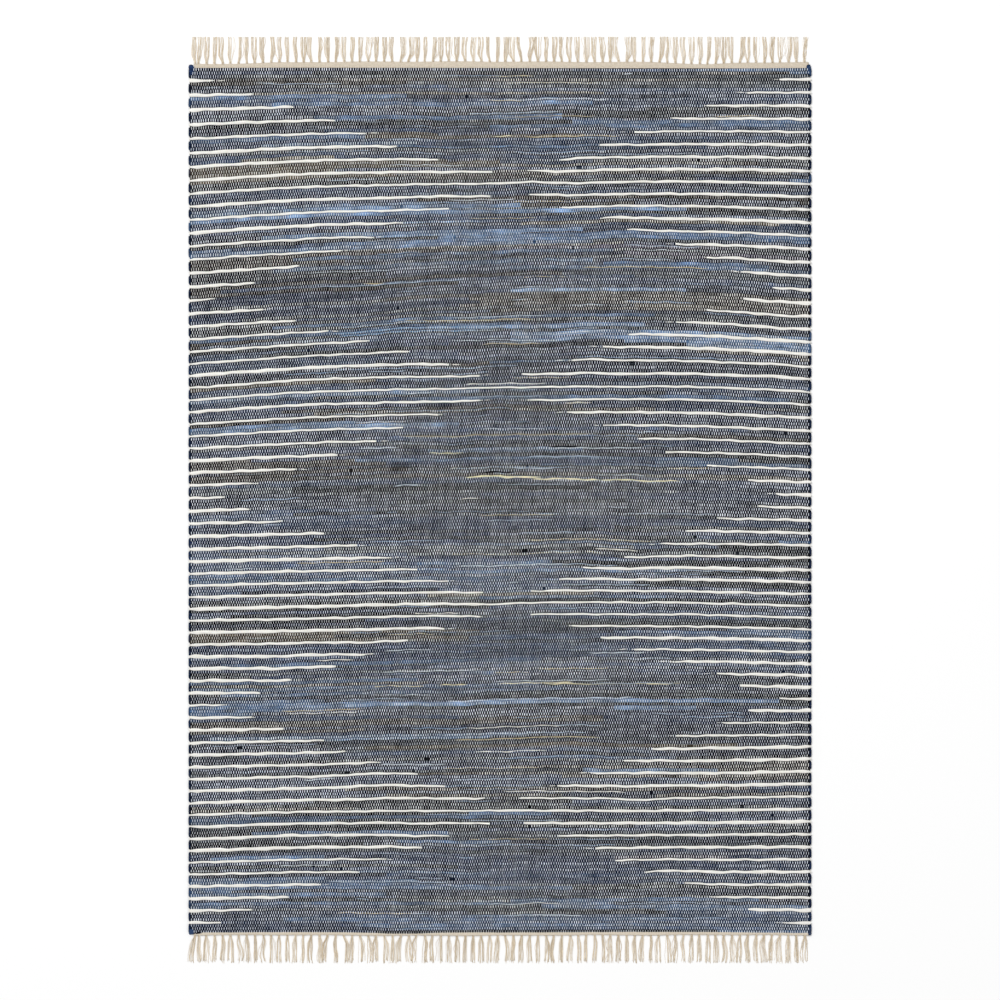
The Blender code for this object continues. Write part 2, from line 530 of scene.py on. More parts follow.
def ragMaterial():
    made = ragSurface("denimRags", 0.93, (26, 210, 90), 900.0, (0.86, 0.98))
    material, tree, shader, folded, grain = made
    shader.inputs["Specular IOR Level"].default_value = 0.05
    shader.inputs["Sheen Weight"].default_value = 0.01
    shader.inputs["Sheen Roughness"].default_value = 0.6
    own = painted(tree, "ragColour")
    uv = addNode(tree, "UVMap", uv_map="weave").outputs["UV"]
    edges = noiseOn(tree, uv, 1.0, 2.0, (0.022, 1.9, 1))
    shaded = brightened(tree, own, rangeOf(tree, folded, 0.32, 0.68, 0.45, 1.5))
    edged = mixOf(tree, rangeOf(tree, edges, 0.62, 0.71, 0.0, 0.5), shaded, linear(132, 144, 156))
    fray = rangeOf(tree, grain, 0.56, 0.74, 0.0, 0.14)
    frayed = mixOf(tree, fray, edged, linear(150, 160, 172))
    checker = addNode(tree, "TexChecker", {"Scale": 1.0})
    tree.links.new(uv, checker.inputs["Vector"])
    under = painted(tree, "underside", "Fac")
    dash = mathOn(tree, "MULTIPLY", checker.outputs["Fac"], under)
    whole = mixOf(tree, dash, frayed, linear(206, 200, 184))
    tree.links.new(whole, shader.inputs["Base Color"])
    coarse = bumped(tree, shader, folded, 0.5, 0.0012)
    bumped(tree, shader, grain, 0.35, 0.0004, coarse)
    return material


def foldMaterial():
    made = ragSurface("foldedRags", 0.93, (90, 500, 300), 900.0, (0.86, 0.98))
    material, tree, shader, folded, grain = made
    own = painted(tree, "ragColour")
    shaded = brightened(tree, own, rangeOf(tree, folded, 0.3, 0.7, 0.55, 1.3))
    tree.links.new(shaded, shader.inputs["Base Color"])
    bumped(tree, shader, grain, 0.35, 0.0004)
    return material


def ragCloth():
    columns, underColumns, rows = rags["columns"], 10, 4 * weave["picks"]
    bm = bmesh.new()
    bmesh.ops.create_grid(bm, x_segments=columns, y_segments=rows, size=0.5)
    under = bmesh.ops.create_grid(bm, x_segments=underColumns, y_segments=rows, size=0.5)["verts"]
    bmesh.ops.translate(bm, verts=under, vec=(0, 0, -1))
    for side in (-0.5, 0.5):
        rim = [e for e in bm.edges if e.is_boundary and all(abs(v.co.x - side) < 1e-6 for v in e.verts)]
        bmesh.ops.bridge_loops(bm, edges=rim)
    bmesh.ops.holes_fill(bm, edges=[e for e in bm.edges if e.is_boundary], sides=0)
    bmesh.ops.recalc_face_normals(bm, faces=bm.faces)
    mesh = meshOf(bm, "ragCloth")
    flat = pointsOf(mesh)
    corner = cornerPoints(mesh)
    counts = readAll(mesh.polygons, "loop_total", kind=np.int32)
    middles = np.repeat(readAll(mesh.polygons, "center", 3), counts, axis=0)
    facePick = (0.5 - middles[:, 1]) * weave["picks"]
    isWhite = (facePick.astype(int) - whites["firstPick"]) % whites["every"] == 0
    beside = np.where(facePick % 1 < 0.25, -1, np.where(facePick % 1 > 0.75, 1, 0))
    facePick = facePick + np.where(isWhite & (middles[:, 2] > -0.5), beside, 0)
    own = ragAt(facePick, middles[:, 0] * 2 * halfWidth)[:, :3]
    faded = np.exp(rags["fade"] * alongRow(fadeTable, facePick, flat[corner, 0] * 2 * halfWidth))
    isPale = own.mean(axis=1) > 0.5
    paintCorners(mesh, "ragColour", own * np.where(isPale, 1, faded)[:, None])
    paintCorners(mesh, "underside", (middles[:, 2] < -0.5).astype(float))
    pick = (0.5 - flat[:, 1]) * weave["picks"]
    isTop = flat[:, 2] > -0.5
    x = flat[:, 0] * 2 * (halfWidth - weave["edgeInset"])
    rib = np.abs(np.sin(np.pi * pick)) ** weave["roundness"]
    top = crestHeight(np.clip(pick, 0, weave["picks"] - 0.01), x)
    z = weave["valley"] + (top - weave["valley"]) * rib
    z = np.where(isTop, z, weave["backDepth"] * (1 - rib))
    points = np.stack([x, rowY(pick, x), z], axis=1)
    movePoints(mesh, points)
    addMap(mesh, "weave", np.stack([x / warpPitch, pick], axis=1)[corner])
    across = flat[corner, 0] + 0.5
    share = np.where(middles[:, 2] > -0.5, 0.72 * across, 0.73 + 0.27 * across)
    addMap(mesh, "OFBake", np.stack([share, flat[corner, 1] + 0.5], axis=1))
    return addPiece("ragCloth", mesh, ragMaterial())


# Joins: where a new strip is laid in, the rag lies over the warps and hides them

joins = {"count": 36, "long": (0.0025, 0.0055), "seed": 23}


def joinPlan():
    chance = random.Random(joins["seed"])
    whiteAt = {stripe["pick"] for stripe in whiteStripes}
    plan = []
    while len(plan) < joins["count"]:
        pick = chance.randrange(2, weave["picks"] - 2)
        if pick not in whiteAt:
            plan.append((pick, chance.uniform(-0.74, 0.74), chance.uniform(*joins["long"])))
    return plan


ragJoins = joinPlan()


# Warp floats: the cream cotton dashes that pass over every other rag

floats = {
    "width": 0.00149,
    "endWidth": 0.0007,
    "clear": 0.0062,  # kept free along each side, where the rags turn
    "reach": 0.94,  # of a pick
    "shoulder": 0.48,
    "endHeight": 0.32,
    "stand": 0.00055,
    "jitter": 0.00016,
    "wobble": 0.0004,  # how far a warp strays sideways from pick to pick
    "tilt": 0.0003,
    "covered": 0.20,  # how far lumps in the rags hide or bare the warps
    "dye": 0.11,  # how much of its rag's hue a warp takes on
    "bands": {"Far": (0, 92), "Middle": (92, 184), "Near": (184, 275)},
    "seed": 8,
}


def cottonMaterial(name, light, dark, twist, bumpDepth, dyed=False):
    # cotton yarn: a soft mottle along it, its twist, and a round shape across it
    material, tree, shader = startMaterial(name, 0.9)
    shader.inputs["Sheen Weight"].default_value = 0.15
    place = addNode(tree, "TexCoord").outputs["Object"]
    mottle = noiseOn(tree, place, 240.0, 3.0)
    # a higher value here paints the cotton darker: a random tone, plus painted shade on pressed-in warps
    # and on the knots, and a painted lighter near heading
    toneAndShade = painted(tree, "toneAndShade", "Fac")
    blend = mathOn(tree, "MULTIPLY_ADD", mottle, 0.6, rangeOf(tree, toneAndShade, 0.0, 1.0, -0.1, 0.5))
    colour = mixOf(tree, blend, light, dark)
    if dyed:
        dye = painted(tree, "dye")
        colour = mixOf(tree, 1.0, colour, dye, "MULTIPLY")
    tree.links.new(colour, shader.inputs["Base Color"])
    uv = addNode(tree, "UVMap", uv_map="yarn").outputs["UV"]
    parts = addNode(tree, "SeparateXYZ")
    tree.links.new(uv, parts.inputs["Vector"])
    along = mathOn(tree, "MULTIPLY_ADD", parts.outputs["Y"], twist, parts.outputs["X"])
    strand = mathOn(tree, "SINE", mathOn(tree, "MULTIPLY", along, 4 * math.pi))
    tree.links.new(rangeOf(tree, mottle, 0.3, 0.7, 0.84, 0.97), shader.inputs["Roughness"])
    fuzz = bumped(tree, shader, noiseOn(tree, place, 1500.0, 2.0), 0.3, 0.0003)
    bumped(tree, shader, strand, 0.35, bumpDepth, fuzz)
    return material


warpCotton = cottonMaterial(
    "warpCotton", linear(246, 247, 246), linear(214, 217, 219), 2.0, 0.00015, dyed=True
)


def floatTemplate():
    bm = bmesh.new()
    bmesh.ops.create_grid(bm, x_segments=1, y_segments=3, size=1)
    yarn = bm.loops.layers.uv.new("yarn")
    for face in bm.faces:
        for loop in face.loops:
            loop[yarn].uv = (loop.vert.co.x / 2 + 0.5, loop.vert.co.y / 2 + 0.5)
    return meshOf(bm, "float")


def warpFloats(name, firstPick, lastPick):
    template = floatTemplate()
    shape = pointsOf(template)
    perPick = weave["warps"] // 2
    picks = np.repeat(np.arange(firstPick, lastPick), perPick)
    warps = np.tile(np.arange(perPick), lastPick - firstPick) * 2 + picks % 2
    middles = (warps + 0.5) * warpPitch - halfWidth
    inside = np.abs(middles) < halfWidth - floats["clear"]
    for pick, x, half in ragJoins:
        inside &= (picks != pick) | (np.abs(middles - x) > half)
    picks, warps = picks[inside], warps[inside]
    chance = np.random.default_rng(floats["seed"] + firstPick)
    mesh = copiesOf(template, len(picks))
    isShoulder = np.abs(shape[:, 1]) < 0.5
    along = np.where(isShoulder, floats["shoulder"], floats["reach"]) * np.sign(shape[:, 1]) * 0.5
    half = np.where(isShoulder, floats["width"], floats["endWidth"]) * np.sign(shape[:, 0]) * 0.5
    profile = np.where(isShoulder, 1.0, floats["endHeight"])
    wobble = floats["wobble"] * np.sin(warps * 0.7 + picks * 0.11)
    x = (warps + 0.5) * warpPitch - halfWidth + wobble
    x = x + chance.normal(size=len(picks)) * floats["jitter"]
    tilt = chance.normal(size=len(picks)) * floats["tilt"]
    press = ragAt(picks, x)[:, 3]
    bared = press * (1 - floats["covered"] * alongRow(lumpTable, picks, x))
    wide = bared * chance.uniform(0.85, 1.12, size=len(picks))
    x = x[:, None] + tilt[:, None] * along + half * wide[:, None]
    pick = picks[:, None] + 0.5 - along
    y = rowY(pick, x)
    top = crestHeight(np.broadcast_to(picks[:, None], x.shape), x)
    onWhite = np.zeros(len(picks), dtype=bool)
    for stripe in whiteStripes:
        onIt = picks == stripe["pick"]
        fromSide = halfWidth - x[onIt] * stripe["side"]
        share = np.clip(fromSide / stripe["reach"], 0, 1)
        ragTop = np.maximum(top[onIt], alongWhite("top", share))
        top[onIt] = np.where(fromSide < stripe["reach"], ragTop, top[onIt])
        onWhite[onIt] |= fromSide[:, 0] < stripe["reach"]
    z = weave["valley"] + (top + floats["stand"] - weave["valley"]) * profile
    movePoints(mesh, np.stack([x, y, z], axis=2).reshape(-1, 3))
    # a random tone for each float, plus painted shade: warps pressed in among the rags (0.9 - press) are
    # painted darker; warps over white rags get the lightest value
    toneAndShade = np.where(onWhite, -1.0, chance.random(len(picks)) + (0.9 - press))
    paintCorners(mesh, "toneAndShade", toneAndShade)
    rag = ragAt(picks, x[:, 0])[:, :3]
    hue = rag / rag.mean(axis=1, keepdims=True)
    hue[onWhite] = 1
    paintCorners(mesh, "dye", 1 + floats["dye"] * (hue - 1))
    spread = np.abs(x).max()
    mapFromAbove(mesh, (-spread, y.min()), (spread, y.max()))
    return addPiece(name, mesh, warpCotton)


# The white rags themselves, a little proud of the rest


def whiteMaterial():
    made = ragSurface("whiteRags", 0.9, (40, 420, 200), 800.0, (0.82, 0.96))
    material, tree, shader, folded, grain = made
    shader.inputs["Sheen Weight"].default_value = 0.15
    worn = rangeOf(tree, folded, 0.35, 0.7, 0.0, 1.0)
    colour = mixOf(tree, worn, linear(247, 245, 240), linear(229, 225, 216))
    tree.links.new(colour, shader.inputs["Base Color"])
    coarse = bumped(tree, shader, folded, 0.4, 0.001)
    bumped(tree, shader, grain, 0.25, 0.0003, coarse)
    return material


def whitePicks():
    template = tubeOf(8, whites["steps"])
    shape = pointsOf(template)
    t = shape[:, 2]
    mesh = copiesOf(template, len(whiteStripes))
    chance = np.random.default_rng(whites["seed"])
    placed = []
    for stripe in whiteStripes:
        side, reach = stripe["side"], stripe["reach"]
        end = whites["tailWide"][stripe["isThin"]]
        tail = whites["tailLong"][stripe["isThin"]] / reach
        taper = np.clip((1 - t) / tail, 0, 1) * (1 - end) + end
        start = np.clip(t * reach / whites["startLong"], 0, 1) * 0.5 + 0.5
        high, waves = whites["wander"]
        wander = high * np.sin(t * reach * waves + stripe["pick"])
        x = side * (halfWidth - whites["inset"] - t * reach)
        swell = 1 + chance.uniform(-1, 1) * whites["widthVaries"]
        (long, longWaves), (short, shortWaves) = whites["swells"]
        longSwell = long * np.sin(t * reach * longWaves + chance.uniform(0, 6))
        swell *= 1 + longSwell + short * np.sin(t * reach * shortWaves)
        width = alongWhite("width", t) * taper * start * swell
        top = alongWhite("top", t) - whites["sunk"]
        bottom = np.full_like(top, whites["bottom"])
        high = (top - bottom) / 2 * (0.6 + 0.4 * taper) * start
        y = rowY(stripe["pick"] + 0.5, x) + wander + shape[:, 1] * width / 2
        z = (top + bottom) / 2 + shape[:, 0] * high
        placed.append(np.stack([x, y, z], axis=1))
    movePoints(mesh, np.concatenate(placed))
    outsideOut(mesh)
    mapFromAbove(mesh, (-halfWidth - 0.002, fieldLow[1]), (halfWidth + 0.002, fieldHigh[1]))
    return addPiece("whitePicks", mesh, whiteMaterial())


# Folded edges and frayed ends of rags that lie over the warps as thin lines

folds = {
    "count": 250,
    "long": (0.05, 0.42),
    "wide": (0.0012, 0.0030),
    "sunk": 0.00045,  # most lie this far down between the warps
    "raised": 0.0001,
    "raisedShare": 0.2,
    "kinds": (  # share, and colour
        (0.36, (104, 126, 152)),
        (0.26, (142, 158, 176)),
        (0.16, (182, 192, 200)),
        (0.06, (12, 16, 26)),
        (0.11, (176, 162, 128)),
        (0.05, (226, 222, 212)),
    ),
    "flecks": 70,  # short frayed bits on top
    "fleckLong": (0.003, 0.010),
    "tailShare": 0.3,  # how many white rags show a last bit beyond their end
    "tailGap": (0.002, 0.009),
    "tailLong": (0.007, 0.024),
    "placed": (  # pick, from and to across, width, colour, and whether it's raised
        (4.4, 0, 0.25, 0.0022, (190, 182, 160), False),
        (20.4, -0.018, 0.034, 0.0026, (222, 212, 178), True),
        (80.4, -0.41, 0.02, 0.004, (104, 140, 176), False),
        (81.4, -0.4, -0.05, 0.0036, (96, 132, 170), False),
        (20.5, 0.075, 0.215, 0.0022, (176, 164, 136), False),
        (104.5, 0.155, 0.225, 0.0034, (190, 184, 168), True),
        (114.2, -0.245, 0.23, 0.0034, (148, 138, 112), False),
        (118, 0.12, 0.2, 0.0044, (8, 10, 14), True),
        (119.3, -0.176, -0.09, 0.0036, (176, 170, 140), False),
        (121.1, 0.068, 0.245, 0.003, (160, 176, 196), True),
        (124.8, 0.03, 0.14, 0.0026, (170, 184, 200), False),
        (126.1, -0.045, 0.036, 0.0046, (8, 10, 14), True),
        (127.2, -0.086, 0.03, 0.004, (228, 220, 178), True),
        (127.5, 0, 0.1, 0.0044, (228, 218, 172), True),
        (128.1, 0.08, 0.245, 0.004, (222, 214, 178), False),
        (128.1, 0.245, 0.44, 0.0036, (214, 206, 170), False),
        (129.4, -0.26, -0.195, 0.0028, (170, 182, 196), True),
        (194.2, -0.147, -0.08, 0.003, (206, 196, 160), True),
        (194.7, 0.12, 0.19, 0.003, (216, 206, 168), True),
        (194.9, 0.35, 0.42, 0.0034, (222, 212, 176), True),
        (199.5, -0.147, 0.34, 0.0034, (160, 176, 194), False),
        (194.4, -0.012, 0.18, 0.003, (206, 196, 160), False),
        (194.8, 0.15, 0.44, 0.0028, (196, 188, 156), False),
    ),
    "wanders": ((0.00045, 61), (0.0003, 190)),
    "swell": (0.25, 130),
    "taperLong": 0.012,
    "halfHigh": 0.00055,
    "steps": 18,
    "seed": 52,
}


def foldPlan():
    chance = random.Random(folds["seed"])
    shares = [share for share, colour in folds["kinds"]]
    plan = list(folds["placed"])
    while len(plan) < folds["count"]:
        pick = chance.randrange(1, weave["picks"] - 1) + chance.uniform(0.25, 0.75)
        if (int(pick) - whites["firstPick"]) % whites["every"] == 0:
            continue
        length = chance.uniform(*folds["long"]) * chance.uniform(0.4, 1)
        start = chance.triangular(-0.74, 0.74 - length, -length / 2)
        colour = chance.choices(folds["kinds"], shares)[0][1]
        isRaised = chance.random() < folds["raisedShare"]
        plan.append((pick, start, start + length, chance.uniform(*folds["wide"]), colour, isRaised))
    for _ in range(folds["flecks"]):
        start = chance.uniform(-0.7, 0.7)
        length = chance.uniform(*folds["fleckLong"])
        colour = chance.choice(folds["kinds"][1:3] + folds["kinds"][4:])[1]
        plan.append((chance.uniform(1, weave["picks"] - 1), start, start + length, 0.0022, colour, True))
    for stripe in whiteStripes:
        if stripe["reach"] < halfWidth and chance.random() < folds["tailShare"]:
            begin = stripe["reach"] + chance.uniform(*folds["tailGap"])
            ends = [begin, begin + chance.uniform(*folds["tailLong"])]
            start, end = sorted(stripe["side"] * (halfWidth - place) for place in ends)
            plan.append((stripe["pick"] + 0.5, start, end, 0.0036, rags["white"], True))
    return plan


def foldedEdges():
    template = tubeOf(5, folds["steps"])
    shape = pointsOf(template)
    t = shape[:, 2]
    plan = foldPlan()
    mesh = copiesOf(template, len(plan))
    chance = np.random.default_rng(folds["seed"])
    placed = []
    for pick, start, end, width, _, isRaised in plan:
        x = start + (end - start) * t
        wander = sum(high * np.sin(x * waves + chance.uniform(0, 6)) for high, waves in folds["wanders"])
        taper = np.clip(np.minimum(t, 1 - t) * (end - start) / folds["taperLong"], 0.25, 1)
        high, waves = folds["swell"]
        swell = 1 + high * np.sin(x * waves + chance.uniform(0, 6))
        y = rowY(pick, x) + wander + shape[:, 1] * width / 2 * taper * swell
        level = folds["raised"] if isRaised else -folds["sunk"]
        z = crestHeight(np.full(len(x), int(pick)), x) + level + shape[:, 0] * folds["halfHigh"] * taper
        placed.append(np.stack([x, y, z], axis=1))
    movePoints(mesh, np.concatenate(placed))
    outsideOut(mesh)
    paintCorners(mesh, "ragColour", [linear(*fold[4]) for fold in plan])
    mapFromAbove(mesh, (-halfWidth, fieldLow[1]), (halfWidth, fieldHigh[1]))
    return addPiece("foldedEdges", mesh, foldMaterial())


# Rags showing past the warps: where they turn at the selvedges, and loose at the corners

turns = {
    "wide": 0.0026,
    "long": 0.0110,
    "high": 0.0024,
    "middle": 0.0031,  # how high its middle lies
    "dark": (22, 40, 74),
    "darkShare": 0.55,
    "squareness": 0.6,  # lower is squarer
    "rough": 0.07,
    "seed": 19,
}
corners = {
    "middle": 0.0034,
    "high": 0.0031,
    "turn": 0.1,
    "far": (  # x, y beyond the field's end, half sizes across and along, colour
        (-0.7545, -0.0040, 0.0065, 0.0130, (30, 48, 82)),
        (0.7560, -0.0030, 0.0055, 0.0130, (42, 64, 98)),
    ),
    "near": (
        (-0.7550, -0.001, 0.0065, 0.0075, (42, 60, 90)),
        (-0.7380, 0.001, 0.0120, 0.0040, (24, 26, 34)),
        (0.7570, 0.000, 0.0050, 0.0090, (48, 60, 84)),
    ),
}


def looseRags():
    chance = random.Random(turns["seed"])
    spots = []
    for stripe in range(whites["count"] + 1):
        firstPick = whites["every"] * stripe
        for side in (-1, 1):
            x = side * (halfWidth - turns["wide"] + 0.0002)
            middle = firstPick + 1.5 + chance.uniform(-0.1, 0.1)
            y = float(rowY(middle, x))
            size = (turns["wide"], turns["long"] * chance.uniform(0.94, 1.06), turns["high"])
            colour = ragAt(firstPick + chance.choice((0, 1, 2)), side * (halfWidth - 0.02))[:3]
            darkShare = turns["darkShare"]
            colour = colour * (1 - darkShare) + np.array(linear(*turns["dark"])) * darkShare
            spots.append(((x, y, turns["middle"]), size, colour, 0.0))
    for end, fieldEnd, outward in (("far", fieldHigh[1], 1), ("near", fieldLow[1], -1)):
        for x, beyond, wide, long, colour in corners[end]:
            place = (x, fieldEnd + outward * beyond, corners["middle"])
            size = (wide, long, corners["high"])
            spots.append((place, size, np.array(linear(*colour)), corners["turn"]))
    return spots


def ragEnds():
    template = lumpOf(8, 10)
    shape = pointsOf(template)
    spots = looseRags()
    mesh = copiesOf(template, len(spots))
    chance = np.random.default_rng(turns["seed"])
    placed = []
    for place, size, _, turn in spots:
        rough = np.sign(shape) * np.abs(shape) ** turns["squareness"]
        rough = rough * (1 + turns["rough"] * chance.normal(size=(len(shape), 1)))
        swell = rough * np.array(size)
        x = swell[:, 0] * math.cos(turn) - swell[:, 1] * math.sin(turn) + place[0]
        y = swell[:, 0] * math.sin(turn) + swell[:, 1] * math.cos(turn) + place[1]
        placed.append(np.stack([x, y, np.maximum(swell[:, 2] + place[2], 0.0002)], axis=1))
    movePoints(mesh, np.concatenate(placed))
    paintCorners(mesh, "ragColour", [spot[2] for spot in spots])
    paintCorners(mesh, "underside", np.zeros(len(spots)))
    mesh.uv_layers.new(name="weave")
    mapFromAbove(mesh, (-halfWidth - 0.002, fieldLow[1] - 0.02), (halfWidth + 0.002, fieldHigh[1] + 0.02))
    return addPiece("ragEnds", mesh, bpy.data.materials["denimRags"])


# Headings: a narrow band of fine cotton weave at each end, which the fringe grows from

headings = {
    "far": {
        "inner": farLow[1],
        "outer": farLow[1] + 0.0125,
        "tip": farHigh[1] + 0.0012,
        "edgeMm": (-2.5, -0.8, 2.2, 3.4, 3.9, 2.8, 2.1, -2.6, 0.4, 2.2),  # how the outer edge runs
        "endPick": 0,
        "extra": -0.7462,  # a group at the corner that its neighbours crowd
        "picks": 8,
        "toneAndShade": 0.6,
        "seed": 11,
        "shortest": 0.978,
        "slot": "cream_cotton_far",
        "node": "heading_fringe_far",
    },
    "near": {
        "inner": nearHigh[1],
        "outer": nearHigh[1] - 0.008,
        "tip": nearLow[1] - 0.0014,
        "edgeMm": (-1.6, -1.8, -2.2, -1.2, -0.6, -1.8, -1.6, -2.4, -2.6, -1.2),
        "endPick": weave["picks"],
        "extra": -0.7470,
        "picks": 5,
        # kept low so that the near band is painted lighter than the far one, to make up for the shade it
        # gets
        "toneAndShade": 0.15,
        "seed": 23,
        "shortest": 0.88,
        "slot": "cream_cotton_near",
        "node": "heading_fringe_near",
    },
}
headingThick = 0.0032
headingWall = 0.0022
headingColumns = 344
headingRim = 0.22  # how much of its thickness goes toward its edges
headingRelief = 0.00045
headingWave = (0.0006, 7)
headingTuck = 0.0025  # how far a heading goes in under the first rag
headingWest, headingEast = farLow[0], farHigh[0]
edgePlaces = (-0.745, -0.635, -0.514, -0.367, 0.0, 0.245, 0.392, 0.519, 0.575, 0.735)


def headingEdge(plan, x):
    # where the heading's outer edge lies, and the fringe starts
    outward = math.copysign(1, plan["outer"])
    offset = throughPoints(edgePlaces, np.array(plan["edgeMm"]) / 1000, np.atleast_1d(x))
    high, waves = headingWave
    wave = np.sin(2 * np.pi * waves * np.atleast_1d(x) / (2 * halfWidth) + plan["seed"])
    return plan["outer"] + outward * (offset + high * wave)


def headingBand(end):
    plan = headings[end]
    outward = math.copysign(1, plan["outer"])
    bm = bmesh.new()
    bmesh.ops.create_grid(bm, x_segments=headingColumns, y_segments=3 * plan["picks"], size=0.5)
    mesh = meshOf(bm, "heading" + end.capitalize())
    flat = pointsOf(mesh)
    x = headingWest + (flat[:, 0] + 0.5) * (headingEast - headingWest)
    share = flat[:, 1] * outward + 0.5
    inner = rowY(plan["endPick"], x) - outward * headingTuck
    y = inner + (headingEdge(plan, x) - inner) * share
    over = np.sin(x / warpPitch * np.pi) * np.sin(share * plan["picks"] * np.pi)
    edge = np.clip(np.minimum(share, 1 - share) * 6, 0, 1)
    z = headingThick * (1 - headingRim + headingRim * edge) + headingRelief * over
    movePoints(mesh, np.stack([x, y, z], axis=1))
    threads = np.stack([x / warpPitch / 2, share * plan["picks"]], axis=1)
    addMap(mesh, "yarn", threads[cornerPoints(mesh)])
    chance = np.random.default_rng(plan["seed"])
    # a random tone for each face, scaled by the end's value; the near band's small scale paints it lighter
    # against its shade
    paintCorners(mesh, "toneAndShade", chance.random(len(mesh.polygons)) * plan["toneAndShade"])
    mapFromAbove(mesh, (headingWest, y.min()), (headingEast, y.max()))
    if outward * (y[-1] - y[0]) < 0:
        mesh.flip_normals()
    piece = addPiece(mesh.name, mesh, headingCotton, plan["node"])
    wall = piece.modifiers.new("thickness", "SOLIDIFY")
    wall.thickness = headingWall
    wall.offset = -1
    return piece


# Fringe: the warp ends, gathered in small groups that are pinched at the heading

fringe = {
    "groups": 76,
    "yarns": 9,
    "pairShare": 0.6,
    "rootJitter": 0.0010,
    "lean": 0.0025,
    "radius": 0.00066,
    "rootSpread": 0.0050,
    "pinch": 0.0034,  # how wide a group is at its knot
    "knotAt": 0.06,  # where the knot sits, as a share of the reach
    "openBy": 0.36,  # where a group has opened to its full width
    "pairSpread": 0.0036,
    "lockWidth": 0.0050,
    "loneWidth": 0.0098,
    "swing": 0.0062,  # how far some groups lean over to their neighbours
    "swingShare": 0.4,
    "sway": 0.0011,
    "stray": 0.0080,
    "strayShare": 0.15,
    "strayCurl": 2.6,
    "strayThin": 0.62,
    "opening": (0.72, 1.22),
    "parted": (0.45, 0.6),  # where a pair's yarns part, as a share across
    "curl": 0.0007,
    "thick": (0.8, 1.12),
    "tipThins": 0.18,
    "knot": (0.0024, 0.0017, 0.0021),
    "steps": 9,
}


def groupPlan(seed, extra):
    # the same draws as the solids' own, so that the yarns lie where the locks do
    chance = random.Random(seed)
    pitch = (headingEast - headingWest) / fringe["groups"]
    plan = []
    for i in range(fringe["groups"]):
        middle = headingWest + (i + 0.5) * pitch + chance.uniform(-1, 1) * fringe["rootJitter"]
        isPair = chance.random() < fringe["pairShare"]
        plan.append((middle, isPair, chance.uniform(-1, 1) * fringe["lean"]))
    return [(extra, True, -0.002), *plan]


def yarnPlan(end):
    # every yarn of this end's fringe: where it starts, passes its knot and ends, and how it curls
    plan = headings[end]
    chance = random.Random(plan["seed"] + 100)
    yarns = []
    for middle, isPair, lean in groupPlan(plan["seed"], plan["extra"]):
        swing = chance.uniform(-1, 1) * fringe["swing"] if chance.random() < fringe["swingShare"] else 0.0
        opening = chance.uniform(*fringe["opening"])
        sway, swayPhase = chance.gauss(0, fringe["sway"]), chance.uniform(0, 6)
        parted = chance.uniform(*fringe["parted"])
        for yarn in range(fringe["yarns"]):
            across = yarn / (fringe["yarns"] - 1) - 0.5
            if isPair:
                side = -1 if across < parted - 0.5 else 1
                tipX = side * fringe["pairSpread"] + (across * 2 - side * 0.5) * fringe["lockWidth"]
            else:
                tipX = across * fringe["loneWidth"]
            isStray = chance.random() < fringe["strayShare"]
            if isStray:
                tipX += chance.uniform(-1, 1) * fringe["stray"]
            yarns.append({
                "middle": middle,
                "rootX": across * fringe["rootSpread"],
                "knotX": across * fringe["pinch"],
                "tipX": tipX * opening + lean + swing + chance.gauss(0, fringe["curl"]),
                "curl": chance.gauss(0, fringe["curl"]) * (fringe["strayCurl"] if isStray else 1),
                "phase": chance.uniform(0, 6),
                "sway": sway,
                "swayPhase": swayPhase,
                "length": chance.uniform(plan["shortest"], 1.0),
                "layer": (yarn * 2 + 1) % 3,
                "thick": chance.uniform(*fringe["thick"]) * (fringe["strayThin"] if isStray else 1),
                "toneAndShade": chance.random() ** 1.3,
            })
    return yarns


def yarnLine(yarn, plan, s):
    # the yarn's middle line, from the heading at 0 to its tip at 1
    outer, outward = float(headingEdge(plan, yarn["middle"])[0]), math.copysign(1, plan["outer"])
    length = abs(plan["tip"] - outer) * yarn["length"]
    toKnot = np.clip(s / fringe["knotAt"], 0, 1)
    opened = np.clip((s - fringe["knotAt"]) / (fringe["openBy"] - fringe["knotAt"]), 0, 1)
    opened = opened * opened * (3 - 2 * opened) * 0.72 + 0.28 * s
    x = yarn["rootX"] + (yarn["knotX"] - yarn["rootX"]) * toKnot
    x = yarn["middle"] + x + (yarn["tipX"] - yarn["knotX"]) * opened
    swayed = np.sin(s * 5.5 + yarn["swayPhase"]) - np.sin(yarn["swayPhase"])
    x += yarn["sway"] * swayed * np.minimum(s * 3, 1)
    x += yarn["curl"] * np.sin(s * 9 + yarn["phase"]) * np.minimum(s * 2, 1)
    y = outer - outward * 0.002 + outward * (length + 0.002) * s
    fall = np.clip(1 - s, 0, 1) ** 1.5
    z = fringe["radius"] * (1.1 + yarn["layer"] * (1.4 * fall + 0.35))
    return x, y, z


def fringeYarns(end):
    plan = headings[end]
    template = tubeOf(5, fringe["steps"])
    shape = pointsOf(template)
    t = shape[:, 2]
    yarns = yarnPlan(end)
    mesh = copiesOf(template, len(yarns))
    placed = []
    for yarn in yarns:
        x, y, z = yarnLine(yarn, plan, t)
        aheadX, aheadY, _ = yarnLine(yarn, plan, t + 0.02)
        run = np.hypot(aheadX - x, aheadY - y)
        thick = fringe["radius"] * yarn["thick"] * (1.0 - fringe["tipThins"] * t)
        sideX, sideY = (aheadY - y) / run, -(aheadX - x) / run
        across, up = shape[:, 0] * thick, shape[:, 1] * thick
        placed.append(np.stack([x + sideX * across, y + sideY * across, z + up], axis=1))
    movePoints(mesh, np.concatenate(placed))
    outsideOut(mesh)
    paintCorners(mesh, "toneAndShade", [yarn["toneAndShade"] for yarn in yarns])
    mapFromAbove(mesh, pointsOf(mesh).min(axis=0), pointsOf(mesh).max(axis=0))
    return addPiece("fringe" + end.capitalize(), mesh, fringeCotton, plan["node"])


